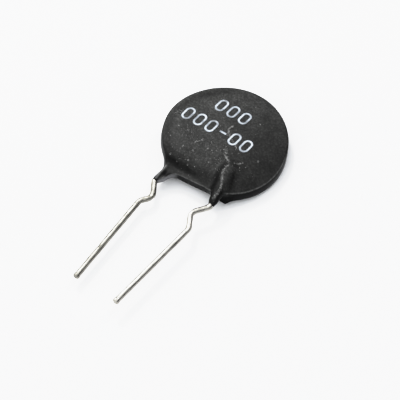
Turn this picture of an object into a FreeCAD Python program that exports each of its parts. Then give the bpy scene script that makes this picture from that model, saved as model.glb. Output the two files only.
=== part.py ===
import FreeCAD, Part
import math
import os

V = FreeCAD.Vector

# Disc resistor with a negative temperature coefficient, for limiting inrush current.
# Lengths are in millimetres. The disc is drawn level, with its middle plane at z = 0 and the
# centre of its coating on the Z axis, and its two leads run towards -Y. At the end all pieces
# are laid down together on the back ridge and the rim.

# Ceramic
ceramic_radius = 7.1
ceramic_thickness = 1.9
ceramic_edge_round = 0.12
ceramic_shift = 0.56                # the dip sags towards the leads, so the ceramic sits high in it
ceramic_low_y = ceramic_shift - ceramic_radius

# Metal layers on the two faces of the ceramic
electrode_thickness = 0.05
electrode_margin = 0.35             # bare ceramic left around each metal layer

# Leads
wire_radius = 0.4
wire_seat = 0.08                    # solder film between the metal layer and the wire
bend_radius = 1.0
kink_radius = 1.2
tip_round = 0.1

# Path of the front lead, from its soldered end to its cut tip, seen from above: its x, and its
# distance beyond the low edge of the ceramic, which is negative over the ceramic
front_inner_end = (3.1, -3.35)
front_face_bend = (3.3, -1.75)
front_edge_bend = (3.9, -0.45)
front_exit_bend = (4.62, 2.85)
front_kink = (3.15, 5.2)
front_kink_foot = (4.53, 7.25)
front_tip = (3.86, 21.55)

# The same for the back lead
back_inner_end = (-2.6, -3.35)
back_face_bend = (-2.75, -1.75)
back_edge_bend = (-3.45, -0.25)
back_exit_bend = (-4.05, 3.85)
back_kink = (-2.55, 5.95)
back_kink_foot = (-3.58, 7.4)
back_tip = (-2.88, 21.35)

lead_offset = 0.75                  # height of the lead centres from the middle plane, outside

# Solder mounds
solder_half_width = 1.0
solder_height = 0.62
solder_before_end = 0.4
solder_length = 3.0
solder_round = 0.45

# Dipped coating
coat_side_wall = 1.38               # beside the ceramic, as an average around it
coat_face_wall = 0.5                # over the middle of each metal layer
coat_dome = 0.4                     # the faces fall by this from the middle to the rim
coat_rim_round = 0.45
coat_over_wire = 0.3
coat_radius = ceramic_radius + coat_side_wall
coat_half_thickness = ceramic_thickness / 2 + electrode_thickness + coat_face_wall

# The thinner web of coating at the lead side, between and beside the two leads
web_reach = 1.4                     # beyond the low edge of the ceramic
web_slant = 0.45                    # the edge reaches further by this next to the back lead
web_nose = 0.35                     # depth of the rounded front edge
web_half_thickness = 0.55
web_rise = 0.6                      # the web climbs by this from the middle plane at each lead
web_station_x = 3.5                 # beyond this the section of the web stays the same
crease_near = 1.75                  # the face starts to slope this far in from the low edge of the
crease_far = 0.15                   # ceramic, next to its own lead and next to the other lead

# Ridges over the soldered wires, and the fingers around the wires as they leave
ridge_half_width = 1.7
ridge_toe_sink = 0.25               # the foot of a ridge starts this far below the wire's centre
front_finger_radius = 0.72
back_finger_radius = 0.58
finger_end_radius = 0.47
finger_end_taper = 0.3
front_finger_reach = 2.95           # along the wire, from the bend at the edge of the ceramic
back_finger_reach = 3.75
ridge_lead_in = 1.7                 # the ridge starts to lift this far before the wire

# Print on the front face: two rows of noughts, the lower one with a dash
ink_thickness = 0.03
print_turn = 5.4                    # degrees
print_origin = (-1.71, 0.2)         # middle of the lower row
glyph_height = 2.1
glyph_width = 1.3
glyph_advance = 1.82
glyph_stroke = 0.25
glyph_slant = 8                     # degrees that the glyphs lean over
dash_width = 0.95
lower_row = "000-00"
upper_row = "000"
row_pitch = 3.57
upper_row_shift = 0.32


def rounded_path(points, radii):
    """A path of straight stretches through the points, with an arc at each inner corner."""
    edges = []
    last = points[0]
    for here, after, radius in zip(points[1:-1], points[2:], radii):
        into = (here - last).normalize()
        away = (after - here).normalize()
        turn = into.getAngle(away)
        reach = radius * math.tan(turn / 2)
        first = here - into * reach
        second = here + away * reach
        inward = (away - into).normalize()
        middle = here + inward * (radius / math.cos(turn / 2) - radius)
        edges.append(Part.LineSegment(last, first).toShape())
        edges.append(Part.Arc(first, middle, second).toShape())
        last = second
    edges.append(Part.LineSegment(last, points[-1]).toShape())
    return Part.Wire(edges)


def station(path, length):
    """The point and the direction at a length along the path, carried straight on before it."""
    if length <= 0:
        first = path.Edges[0]
        direction = first.tangentAt(first.FirstParameter).normalize()
        return first.valueAt(first.FirstParameter) + direction * length, direction
    for edge in path.OrderedEdges:
        if length <= edge.Length:
            place = edge.getParameterByLength(length)
            return edge.valueAt(place), edge.tangentAt(place).normalize()
        length = length - edge.Length
    raise ValueError("the path is too short")


def round_bar(path, radius):
    """A solid round wire along the path, with its far end rounded off."""
    start, direction = station(path, 0)
    ring = Part.Wire(Part.makeCircle(radius, start, direction))
    bar = path.makePipeShell([ring], True, False)
    end = path.OrderedVertexes[-1].Point
    rim = [e for e in bar.Edges if e.BoundBox.Center.distanceToPoint(end) < radius and e.Closed]
    return bar.makeFillet(tip_round, rim)


def lead_path(side, inner_end, face_bend, edge_bend, exit_bend, kink, kink_foot, tip):
    """The centre line of a lead; side is 1 on the front face and -1 on the back face."""
    on_face = side * (ceramic_thickness / 2 + electrode_thickness + wire_seat + wire_radius)
    outside = side * lead_offset
    flat = [inner_end, face_bend, edge_bend]
    loose = [exit_bend, kink, kink_foot, tip]
    points = [V(x, ceramic_low_y - beyond, on_face) for x, beyond in flat]
    points += [V(x, ceramic_low_y - beyond, outside) for x, beyond in loose]
    radii = [bend_radius, bend_radius, bend_radius, kink_radius, kink_radius]
    return rounded_path(points, radii)


def solder_mound(side, path, wire):
    """A low mound of solder around the inner end of a wire."""
    start, direction = station(path, 0)
    base = side * (ceramic_thickness / 2 + electrode_thickness)
    across = V(-direction.y, direction.x, 0)
    back = start - direction * (solder_before_end - solder_half_width)
    front = back + direction * (solder_length - 2 * solder_half_width)
    back.z = base
    front.z = base
    w = solder_half_width
    outline = Part.Wire([
        Part.LineSegment(back + across * w, front + across * w).toShape(),
        Part.Arc(front + across * w, front + direction * w, front - across * w).toShape(),
        Part.LineSegment(front - across * w, back - across * w).toShape(),
        Part.Arc(back - across * w, back - direction * w, back + across * w).toShape(),
    ])
    mound = Part.Face(outline).extrude(V(0, 0, side * solder_height))
    top = [e for e in mound.Edges if abs(e.BoundBox.Center.z - base - side * solder_height) < 0.01]
    return mound.makeFillet(solder_round, top).cut(wire)


def ridge_section(side, path, length, half_width, crown, depth, sink, roundness):
    """A closed section across the wire: an arch with soft feet above, a shallow bowl below."""
    centre, direction = station(path, length)
    across = V(-direction.y, direction.x, 0).normalize()
    upright = V(0, 0, side)
    middle = centre - upright * sink
    steps = 24
    points = []
    for k in range(steps):
        angle = 2 * math.pi * k / steps
        if math.sin(angle) >= 0:
            lift = (crown + sink) * math.sin(angle) ** roundness
        else:
            lift = depth * math.sin(angle)
        points.append(middle + across * (half_width * math.cos(angle)) + upright * lift)
    curve = Part.BSplineCurve()
    curve.interpolate(points, PeriodicFlag=True)
    return Part.Wire(curve.toShape())


def ridge(side, path, inner_end, face_bend, edge_bend, finger_reach, finger_radius):
    """The coating drawn up over a soldered wire and out along it as a finger."""
    full = wire_radius + coat_over_wire
    wide = ridge_half_width
    r = finger_radius
    e = finger_end_radius
    s = ridge_toe_sink
    rise = ridge_lead_in
    soldered = math.dist(inner_end, face_bend)
    over = soldered + math.dist(face_bend, edge_bend)
    end = over + finger_reach
    bare = finger_reach - finger_end_taper
    sections = [
        ridge_section(side, path, -rise, 0.35 * wide, s - full, 2 * s, full, 2.0),
        ridge_section(side, path, -0.4 * rise, 0.65 * wide, 0.4 * full, 2 * s, s, 2.2),
        ridge_section(side, path, 0.3 * soldered, 0.95 * wide, full, 2 * s, s, 2.6),
        ridge_section(side, path, 1.2 * soldered, wide, full, 2 * s, s, 2.6),
        ridge_section(side, path, over, 0.95 * wide, full, r, s, 2.3),
        ridge_section(side, path, over + 0.35 * bare, 0.75 * wide, (full + r) / 2, r, s / 2, 1.7),
        ridge_section(side, path, over + 0.65 * bare, 1.15 * r, r, r, 0.2 * s, 1.15),
        ridge_section(side, path, over + 0.85 * bare, r, r, r, 0, 1),
        ridge_section(side, path, over + bare, (3 * r + e) / 4, (3 * r + e) / 4, (3 * r + e) / 4, 0, 1),
        ridge_section(side, path, end, e, e, e, 0, 1),
    ]
    return Part.makeLoft(sections, True, False)


def web_section(x):
    """The side profile of the coating at x, which bounds the disc above, below and in front."""
    share = max(-1, min(1, x / web_station_x))
    middle = web_rise * share
    top = middle + web_half_thickness
    bottom = middle - web_half_thickness
    front = ceramic_low_y - web_reach + web_slant * share
    shoulder = front + web_nose
    beyond = 1.5 * coat_half_thickness
    far = 1.1 * coat_radius
    crease = ceramic_low_y + (crease_near + crease_far) / 2
    top_crease = crease + share * (crease_near - crease_far) / 2
    low_crease = crease - share * (crease_near - crease_far) / 2
    top_run = (top_crease - shoulder) / (coat_half_thickness - top)
    low_run = (low_crease - shoulder) / (coat_half_thickness + bottom)
    high = V(x, shoulder + top_run * (beyond - top), beyond)
    low = V(x, shoulder + low_run * (beyond + bottom), -beyond)
    upper = V(x, shoulder, top)
    lower = V(x, shoulder, bottom)
    return Part.Wire([
        Part.LineSegment(V(x, far, beyond), high).toShape(),
        Part.LineSegment(high, upper).toShape(),
        Part.Arc(upper, V(x, front, middle), lower).toShape(),
        Part.LineSegment(lower, low).toShape(),
        Part.LineSegment(low, V(x, far, -beyond)).toShape(),
        Part.LineSegment(V(x, far, -beyond), V(x, far, beyond)).toShape(),
    ])


def dipped_disc():
    """The round body of the coating with its two sloped faces and the web at the lead side."""
    middle = coat_half_thickness
    rim = coat_half_thickness - coat_dome
    r = coat_radius
    c = coat_rim_round
    d = c * (1 - math.sqrt(0.5))
    half = (r - c) / 2
    lift = math.sqrt(dome_radius ** 2 - half ** 2) - (dome_radius - coat_half_thickness)
    profile = Part.Wire([
        Part.Arc(V(0, 0, -middle), V(half, 0, -lift), V(r - c, 0, -rim)).toShape(),
        Part.Arc(V(r - c, 0, -rim), V(r - d, 0, d - rim), V(r, 0, c - rim)).toShape(),
        Part.LineSegment(V(r, 0, c - rim), V(r, 0, rim - c)).toShape(),
        Part.Arc(V(r, 0, rim - c), V(r - d, 0, rim - d), V(r - c, 0, rim)).toShape(),
        Part.Arc(V(r - c, 0, rim), V(half, 0, lift), V(0, 0, middle)).toShape(),
        Part.LineSegment(V(0, 0, middle), V(0, 0, -middle)).toShape(),
    ])
    body = Part.Face(profile).revolve(V(0, 0, 0), V(0, 0, 1), 360)
    edge = 1.1 * coat_radius
    places = [-edge, -web_station_x, 0, web_station_x, edge]
    return body.common(Part.makeLoft([web_section(x) for x in places], True, True))


# The domes of the two faces are parts of spheres.
dome_reach = coat_radius - coat_rim_round
dome_radius = (dome_reach ** 2 + coat_dome ** 2) / (2 * coat_dome)


def slab(width, height):
    """An upright block with the outline of a stroke."""
    return Part.makeBox(width, height, coat_half_thickness * 2, V(-width / 2, -height / 2, 0))


def oval(width, height):
    """An upright block with the outline of a tall stadium."""
    body = slab(width, height - width)
    for end in (-1, 1):
        place = V(0, end * (height - width) / 2, 0)
        body = body.fuse(Part.makeCylinder(width / 2, coat_half_thickness * 2, place))
    return body.removeSplitter()


def nought():
    hole = oval(glyph_width - 2 * glyph_stroke, glyph_height - 2 * glyph_stroke)
    return oval(glyph_width, glyph_height).cut(hole)


def row_of_marks(row, along, across):
    """The glyphs of one row, leaning over, with the middle of the row at the given place."""
    lean = FreeCAD.Matrix()
    lean.A12 = math.tan(math.radians(glyph_slant))
    marks = []
    for place, glyph in enumerate(row):
        upright = nought() if glyph == "0" else slab(dash_width, glyph_stroke)
        mark = upright.transformGeometry(lean)
        mark.translate(V(along + (place - (len(row) - 1) / 2) * glyph_advance, across, 0))
        marks.append(mark)
    return marks


def printed_marking():
    """Both rows, as a film that follows the dome of the front face."""
    centre = V(0, 0, coat_half_thickness - dome_radius)
    film = Part.makeSphere(dome_radius + ink_thickness, centre, V(1, 0, 0))
    film = film.cut(Part.makeSphere(dome_radius, centre, V(1, 0, 0)))
    marks = row_of_marks(lower_row, 0, 0) + row_of_marks(upper_row, upper_row_shift, row_pitch)
    for mark in marks:
        mark.rotate(V(0, 0, 0), V(0, 0, 1), print_turn)
        mark.translate(V(print_origin[0], print_origin[1], 0))
    return Part.makeCompound([mark.common(film) for mark in marks])


# Ceramic and its metal layers
ceramic_base = V(0, ceramic_shift, -ceramic_thickness / 2)
ceramic_disc = Part.makeCylinder(ceramic_radius, ceramic_thickness, ceramic_base)
rims = [e for e in ceramic_disc.Edges if e.Closed]
ceramic_disc = ceramic_disc.makeFillet(ceramic_edge_round, rims)
electrode_radius = ceramic_radius - electrode_margin
front_base = V(0, ceramic_shift, ceramic_thickness / 2)
back_base = V(0, ceramic_shift, -ceramic_thickness / 2 - electrode_thickness)
front_electrode = Part.makeCylinder(electrode_radius, electrode_thickness, front_base)
back_electrode = Part.makeCylinder(electrode_radius, electrode_thickness, back_base)

# Leads and their solder
front_path = lead_path(1, front_inner_end, front_face_bend, front_edge_bend, front_exit_bend,
                       front_kink, front_kink_foot, front_tip)
back_path = lead_path(-1, back_inner_end, back_face_bend, back_edge_bend, back_exit_bend,
                      back_kink, back_kink_foot, back_tip)
front_lead = round_bar(front_path, wire_radius)
back_lead = round_bar(back_path, wire_radius)
front_solder = solder_mound(1, front_path, front_lead)
back_solder = solder_mound(-1, back_path, back_lead)

# Coating
coating = dipped_disc()
coating = coating.fuse(ridge(1, front_path, front_inner_end, front_face_bend, front_edge_bend,
                             front_finger_reach, front_finger_radius))
coating = coating.fuse(ridge(-1, back_path, back_inner_end, back_face_bend, back_edge_bend,
                             back_finger_reach, back_finger_radius))
inner = [ceramic_disc, front_electrode, back_electrode, front_solder, back_solder, front_lead, back_lead]
for piece in inner:
    coating = coating.cut(piece)

nodes = {
    "coating": coating,
    "ceramic_disc": ceramic_disc,
    "front_electrode": front_electrode,
    "back_electrode": back_electrode,
    "front_solder": front_solder,
    "back_solder": back_solder,
    "front_lead": front_lead,
    "back_lead": back_lead,
    "printed_marking": printed_marking(),
}

# At rest the part lies on its back ridge and on the lower edge of the rim across from it.
face_height = ceramic_thickness / 2 + electrode_thickness + wire_seat
ridge_depth = face_height + 2 * wire_radius + coat_over_wire
rim_height = coat_half_thickness - coat_dome
ridge_x = abs(back_inner_end[0] + back_face_bend[0]) / 2
rest_tilt = math.degrees(math.atan((ridge_depth - rim_height) / (ridge_x + dome_reach)))
for shape in nodes.values():
    shape.rotate(V(0, 0, 0), V(0, 1, 0), rest_tilt)

# The origin is under the middle of the whole part, on the surface that it lies on.
whole = Part.makeCompound(list(nodes.values())).optimalBoundingBox(False, False)
shift = V(-whole.Center.x, -whole.Center.y, -whole.ZMin)
for shape in nodes.values():
    shape.translate(shift)

os.makedirs("parts", exist_ok=True)
for name, shape in nodes.items():
    print(name, shape.isValid(), len(shape.Solids), round(shape.Volume, 3))
    shape.exportStep("parts/" + name + ".step")
print("tilt", rest_tilt, "shift", shift, "box", whole)
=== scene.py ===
# %% [markdown]
# # A disc thermistor that limits inrush current
#
# A ceramic disc with a wire soldered to each face is dipped in black silicone, and only the two
# kinked wires come out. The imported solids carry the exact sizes. This lesson dresses them: a soft
# dipped skin, tinned wires, printing ink, dust, and a bright table top to lie on.

# %% Load the frame
import math

import bpy
import numpy as np
from mathutils import Matrix, Vector


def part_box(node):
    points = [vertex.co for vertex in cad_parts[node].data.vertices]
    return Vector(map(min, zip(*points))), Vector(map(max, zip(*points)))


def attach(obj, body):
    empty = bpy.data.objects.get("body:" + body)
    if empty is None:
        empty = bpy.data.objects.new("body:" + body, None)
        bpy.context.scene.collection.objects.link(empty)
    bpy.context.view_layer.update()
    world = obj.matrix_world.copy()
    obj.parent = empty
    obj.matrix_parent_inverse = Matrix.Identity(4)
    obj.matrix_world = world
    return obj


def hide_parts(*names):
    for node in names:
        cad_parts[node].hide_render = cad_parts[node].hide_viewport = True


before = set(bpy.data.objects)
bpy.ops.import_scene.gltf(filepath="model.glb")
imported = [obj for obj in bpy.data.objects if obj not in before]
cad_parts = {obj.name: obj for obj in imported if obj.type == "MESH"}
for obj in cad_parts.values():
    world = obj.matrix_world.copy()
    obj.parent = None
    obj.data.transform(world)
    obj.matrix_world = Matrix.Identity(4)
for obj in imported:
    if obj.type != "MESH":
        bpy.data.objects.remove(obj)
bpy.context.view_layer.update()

print("nodes:", sorted(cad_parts))

# %% [markdown]
# ## The disc's own axes
#
# The part lies a little tilted, on the ridge under its back and on its rim. It is far easier to
# shape a level disc, so everything below is made in millimetres about the disc's own middle, and
# one matrix lays it down. The ceramic's box gives the middle, because the ceramic is a plain disc.

# %% The matrix that lays a level piece down
MM = 0.001
REST_TILT = math.radians(5.761)
CERAMIC_SHIFT = 0.56
ceramic_low, ceramic_high = (Vector(corner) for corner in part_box("ceramic_disc"))
ceramic_middle = (ceramic_low + ceramic_high) / 2
disc_middle = ceramic_middle - Vector((0, CERAMIC_SHIFT * MM, 0))
LAY_DOWN = (Matrix.Translation(disc_middle)
            @ Matrix.Rotation(REST_TILT, 4, "Y") @ Matrix.Scale(MM, 4))
print("disc middle in mm:", [round(c / MM, 3) for c in disc_middle])


# %% A piece from points and faces
def new_piece(name, points, faces):
    """A smooth mesh piece from points in millimetres about the disc's middle."""
    mesh = bpy.data.meshes.new(name)
    mesh.from_pydata([tuple(p) for p in points], [], [tuple(f) for f in faces])
    mesh.transform(LAY_DOWN)
    mesh.polygons.foreach_set("use_smooth", [True] * len(mesh.polygons))
    mesh.update()
    piece = bpy.data.objects.new(name, mesh)
    bpy.context.scene.collection.objects.link(piece)
    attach(piece, "root")
    print(name, "has", len(mesh.polygons), "faces")
    return piece


# %% [markdown]
# ## The wires' route
#
# Each lead is stiff wire, bent on a machine: straight runs joined by small round bends. A curve
# object would round the bends in its own way, so the route is worked out as points instead, with a
# true arc at each corner, and both the wires and the coating that creeps along them follow it.

# %% A round corner
ARC_STEP = 0.12


def corner_points(before, corner, after, radius):
    """Points along the arc that rounds one corner."""
    into = (corner - before) / np.linalg.norm(corner - before)
    away = (after - corner) / np.linalg.norm(after - corner)
    turn = math.acos(np.clip(into @ away, -1, 1))
    reach = radius * math.tan(turn / 2)
    inward = (away - into) / np.linalg.norm(away - into)
    centre = corner + inward * radius / math.cos(turn / 2)
    first = corner - into * reach - centre
    ahead = into * radius
    angles = np.linspace(0, turn, max(4, int(turn / ARC_STEP)))
    return [centre + first * math.cos(a) + ahead * math.sin(a) for a in angles]


right_angle = [np.array(spot, float) for spot in [(0, 0, 0), (2, 0, 0), (2, 2, 0)]]
print("points round a right angle:", len(corner_points(*right_angle, 1.0)))


# %% [markdown]
# A lead starts on the ceramic's face, steps in as it passes the edge of the disc, and then kinks
# inwards, so that the part can't sink into the board beyond the kink. Seven corners say all that.
# The back lead is the same on the other face, so one function with a side of 1 or -1 makes both.

# %% Straight runs with round corners
ON_FACE = 1.48
OUTSIDE = 0.75
LEAD_HEIGHTS = [ON_FACE] * 3 + [OUTSIDE] * 4
BEND_RADIUS = 1.0
KINK_RADIUS = 1.2
LEAD_RADII = [BEND_RADIUS] * 3 + [KINK_RADIUS] * 2
CERAMIC_RADIUS = 7.1
CERAMIC_LOW_Y = CERAMIC_SHIFT - CERAMIC_RADIUS


def lead_route(side, bends, spacing=0.2):
    """Evenly spaced points along a lead, from its soldered end to its tip."""
    corners = [np.array([x, CERAMIC_LOW_Y - beyond, side * height])
               for (x, beyond), height in zip(bends, LEAD_HEIGHTS)]
    route = [corners[0]]
    for before, corner, after, radius in zip(corners, corners[1:], corners[2:], LEAD_RADII):
        route += corner_points(before, corner, after, radius)
    route = np.array(route + [corners[-1]])
    lengths = np.r_[0, np.cumsum(np.linalg.norm(np.diff(route, axis=0), axis=1))]
    stops = np.linspace(0, lengths[-1], int(lengths[-1] / spacing))
    places = [np.interp(stops, lengths, route[:, axis]) for axis in range(3)]
    return np.stack(places, axis=1), stops


# %% The two leads, as x and distance beyond the low edge of the ceramic
FRONT_BENDS = [(3.1, -3.35), (3.3, -1.75), (3.9, -0.45), (4.62, 2.85), (3.15, 5.15),
               (4.48, 7.25), (3.77, 21.6)]
BACK_BENDS = [(-2.6, -3.35), (-2.8, -1.75), (-3.7, -0.25), (-3.89, 3.82), (-2.43, 5.95),
              (-3.5, 7.4), (-2.79, 21.5)]
front_route, front_stops = lead_route(1, FRONT_BENDS)
back_route, back_stops = lead_route(-1, BACK_BENDS)
print("lead lengths in mm:", round(front_stops[-1], 1), round(back_stops[-1], 1))

# %% [markdown]
# ## The shape of the dip
#
# A dipped coating has no edges of its own: wet silicone draws itself smooth over the disc, the
# solder and the wires, and hangs between them in a thin web. Polygons and bevels would be a poor
# start for that. A distance field suits it: each form is a formula that says how far a point is
# from it, and a blend of two formulas leaves a soft fillet where they meet.

# %% Blends
def soft_min(a, b, reach):
    """Joins two forms, with a fillet about as wide as reach."""
    overlap = np.maximum(reach - np.abs(a - b), 0) / reach
    return np.minimum(a, b) - overlap * overlap * reach / 4


def soft_max(a, b, reach):
    """Cuts one form by another, with a rounded edge."""
    return -soft_min(-a, -b, reach)


def smooth_step(share):
    """Eases from 0 to 1."""
    share = np.clip(share, 0, 1)
    return share * share * (3 - 2 * share)


def fade(value, none, full):
    """Eases from 0 at one value to 1 at another, in either direction."""
    return smooth_step((value - none) / (full - none))


print("a fillet with a reach of 1 fills in", -soft_min(0.0, 0.0, 1.0))


# %% [markdown]
# From above, the dip is nearly a circle, but the silicone ran before it set, so its outline swells
# a little here and there. Points traced from one view would give a lumpy edge. A radius that
# changes with the angle by two smooth waves and one low hump stays round from every side.

# %% The outline
COAT_RADIUS = 8.42
TWO_WAVES, TWO_TURN = 0.155, 28.4
THREE_WAVES, THREE_TURN = 0.159, 84
RIGHT_BULGE, RIGHT_TURN, RIGHT_WIDTH = 0.1, 8, 22
LEAD_TURN = -65


def hump(angle, turn, width):
    """1 at one place of the rim and less beside it, with its turn and width in degrees."""
    return np.exp(-((angle - math.radians(turn)) / np.radians(width)) ** 2)


def rim_radius(angle):
    """The outline of the dip, which bulges softly where the silicone ran."""
    two_bulges = TWO_WAVES * np.cos(2 * (angle - math.radians(TWO_TURN)))
    three_bulges = THREE_WAVES * np.cos(3 * (angle - math.radians(THREE_TURN)))
    right_bulge = RIGHT_BULGE * hump(angle, RIGHT_TURN, RIGHT_WIDTH)
    return COAT_RADIUS + two_bulges + three_bulges + right_bulge


def nearness(angle):
    """1 at the lead side of the rim, 0 at the far side."""
    return fade(np.cos(angle - math.radians(LEAD_TURN)), -0.4, 0.45)


print("radius at the right and at the far side:",
      [round(float(rim_radius(math.radians(turn))), 2) for turn in (0, 90)])


# %% [markdown]
# The wall below that outline carries two more traces of the dip. A skin of silicone fills the
# corner between the disc and the finger of the back lead, and a small drop has gathered low down
# beside the finger of the front lead. Both are narrow humps on the same radius.

# %% The wall
CORNER_SKIN, CORNER_TURN, CORNER_WIDTH = 2.4, -110, 5
DROP_SIZE, DROP_TURN, DROP_RIGHT, DROP_LEFT = 0.8, -56, 7.5, 3.0
WALL_LEAN, LEAN_MIDDLE, LEAN_HALF = 0.18, -0.4, 1.1


def wall_distance(x, y, z):
    """Positive outside the wall, which leans out a little towards the back on the lead side."""
    angle = np.arctan2(y, x)
    corner_skin = CORNER_SKIN * hump(angle, CORNER_TURN, CORNER_WIDTH)
    drop_width = np.where(angle > math.radians(DROP_TURN), DROP_RIGHT, DROP_LEFT)
    drop = DROP_SIZE * hump(angle, DROP_TURN, drop_width) * fade(z, 0.3, -0.9)
    lean = WALL_LEAN * nearness(angle) * ((z - LEAN_MIDDLE) / LEAN_HALF) ** 2
    return np.hypot(x, y) - rim_radius(angle) - corner_skin - drop + lean


print("the corner skin reaches out to",
      round(float(rim_radius(math.radians(CORNER_TURN))) + CORNER_SKIN, 2), "mm")


# %% [markdown]
# Front and back are very flat domes. On the lead side the front drops off to a thin lip, because
# the silicone drained that way. A height is not quite a distance where a surface slopes, so the
# field scales it down a little, which keeps the blends even.

# %% The two faces
COAT_HALF = 1.5
DOME_RADIUS = 80.8
LIP = 0.45
LIP_DROP = 0.27
LIP_SLOPE, RIGHT_SLOPE = 2.4, 0.6
DOME_SCALE = 0.97
FRONT_ROUNDING = 0.28
BACK_ROUNDING, LESS_AT_WEB = 0.5, 0.3
FLATTER_AT_WEB = 0.38


def front_height(x, y):
    """A flat dome that drops off softly to a thin lip, mostly on the lead side."""
    reach = np.hypot(x, y)
    angle = np.arctan2(y, x)
    from_rim = rim_radius(angle) - reach
    width = LIP_SLOPE + RIGHT_SLOPE * np.cos(angle)
    drop = LIP_DROP * nearness(angle) * fade(from_rim, width, LIP)
    return COAT_HALF - reach ** 2 / (2 * DOME_RADIUS) - drop


def disc_distance(x, y, z):
    """Negative inside the disc: within the wall, below the front face, above the back face."""
    front = (z - front_height(x, y)) * DOME_SCALE
    at_web = fade(y, -7.0, -7.8) * fade(x, 2.5, 1.0)
    back = -z - COAT_HALF + (1 - FLATTER_AT_WEB * at_web) * (x * x + y * y) / (2 * DOME_RADIUS)
    with_front = soft_max(wall_distance(x, y, z), front, FRONT_ROUNDING)
    return soft_max(with_front, back, BACK_ROUNDING - LESS_AT_WEB * at_web)


print("front height in the middle and at the lip:",
      [round(float(front_height(0.0, y)), 2) for y in (0.0, -8.0)])


# %% [markdown]
# The faces run down to the web at the lead side. Beside its own lead a face starts to fall early
# and gently, and on the other side late and steeply, because the web climbs from one lead to the
# other. The back is the front turned over, so one formula with a side of 1 or -1 serves both. Only
# the far end of the crease differs, and the web's half thickness, which at the front thins out
# towards its edge.

# %% The sloped faces
WEB_FRONT_Y = CERAMIC_LOW_Y - 1.31
WEB_SLANT = 0.11
WEB_SHOULDER = 0.4
WEB_HALF = {1: 0.5, -1: 0.88}
WEB_RISE = 0.6
WEB_STATION = 3.5
WEB_END = 4
WEB_THINNING, THINNING_LENGTH = 0.15, 1.4
CREASE_NEAR = 1.75
CREASE_FAR = {1: 0.6, -1: 0.0}
SLOPE_MARGIN = 0.1
SLOPE_TOP = COAT_HALF + SLOPE_MARGIN
SLOPE_SCALE = 0.85
CLEAR_OF_FACE = 0.6


def straight_edge(x):
    """The y of the web's edge between the two leads."""
    return WEB_FRONT_Y + WEB_SLANT * np.clip(x, -WEB_END, WEB_END)


def face_limit(x, y, z, side):
    """Positive above the surface that the face on this side falls along."""
    share = np.clip(side * x / WEB_STATION, -1, 1)
    low = WEB_HALF[side] + WEB_RISE * share
    if side > 0:
        low = low - WEB_THINNING * fade(straight_edge(x) - y, 0, THINNING_LENGTH)
    near, far = CREASE_NEAR, CREASE_FAR[side]
    crease = CERAMIC_LOW_Y + (near + far) / 2 + share * (near - far) / 2 - SLOPE_MARGIN
    run = (crease - y) / (crease - (WEB_FRONT_Y + WEB_SHOULDER))
    above = np.maximum(-run, 0) * CLEAR_OF_FACE
    return (side * z - SLOPE_TOP - (low - SLOPE_TOP) * smooth_step(run) - above) * SLOPE_SCALE


print("thickness of the web:", round(WEB_HALF[1] + WEB_HALF[-1], 2), "mm")


# %% [markdown]
# Between the leads the web ends in a straight, slanting edge, and at the back lead it runs out
# along the wire. That end is a quarter of an ellipse, whose own slope turns the height above it
# into a distance.

# %% The web's edge and the whole body
ELLIPSE_START = -1.7
ELLIPSE_WIDTH = 1.4
ELLIPSE_REACH = 2.4
EDGE_ROUNDING = 0.2
SOFT_AT_WEB, SOFTER_ON_FACE = 0.3, 0.6


def web_edge_distance(x, y):
    """Positive in front of the web's edge, which curves out to fill the corner at the back lead."""
    into_corner = np.clip((ELLIPSE_START - x) / ELLIPSE_WIDTH, 0, 0.995)
    level = np.sqrt(1 - into_corner ** 2)
    steepness = ELLIPSE_REACH / ELLIPSE_WIDTH * into_corner / level
    edge = straight_edge(x) - ELLIPSE_REACH * (1 - level)
    return (edge - y) / np.sqrt(1 + steepness ** 2)


def body_distance(x, y, z):
    """The whole dipped body without its ridges and fingers."""
    body = disc_distance(x, y, z)
    softness = SOFT_AT_WEB + SOFTER_ON_FACE * fade(y - WEB_FRONT_Y, 0.8, 2.2)
    for side in (1, -1):
        body = soft_max(body, face_limit(x, y, z, side), softness)
    return soft_max(body, web_edge_distance(x, y), EDGE_ROUNDING)


print("y of the web's edge at the two leads:",
      [round(float(straight_edge(x)), 2) for x in (-WEB_END, WEB_END)])


# %% [markdown]
# Over each soldered wire the coating stands up as a ridge, and it follows the wire out as a finger
# that ends in a thin collar. That is a tube along the wire's own route whose radius changes along
# the way. Joining it softly to the body gives the long flanks that the real ridge has.

# %% Ridges and fingers, as distance along the lead and radius
FRONT_SLEEVE = [(0, 0.25), (0.9, 0.58), (3.0, 0.66), (4.6, 0.72), (5.5, 0.64), (5.99, 0.45)]
BACK_SLEEVE = [(0, 0.3), (0.9, 0.62), (3.26, 0.66), (4.6, 0.52), (6.9, 0.46), (7.2, 0.42)]
SLEEVE_MARGIN = 3
FAR_AWAY = 99.0
FRONT_FLANK, BACK_FLANK, WIDER_ON_DISC = 0.9, 0.8, 0.6


def sleeve_distance(points, route, stops, sleeve):
    """Distance from the coating around one wire, for points in rows of x, y, z."""
    knots, radii = zip(*sleeve)
    last = int(np.searchsorted(stops, knots[-1])) + 1
    low = route[:last].min(axis=0) - SLEEVE_MARGIN
    high = route[:last].max(axis=0) + SLEEVE_MARGIN
    close = ((points > low) & (points < high)).all(axis=1)
    nearby = points[close]
    best = np.full(len(nearby), FAR_AWAY)
    for first, second, start, stop in zip(route[:last - 1], route[1:last], stops, stops[1:]):
        along = second - first
        share = np.clip((nearby - first) @ along / (along @ along), 0, 1)
        gap = np.linalg.norm(nearby - first - share[:, None] * along, axis=1)
        radius = np.interp(start + share * (stop - start), knots, radii)
        best = np.minimum(best, gap - radius)
    distance = np.full(len(points), FAR_AWAY)
    distance[close] = best
    return distance


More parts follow.
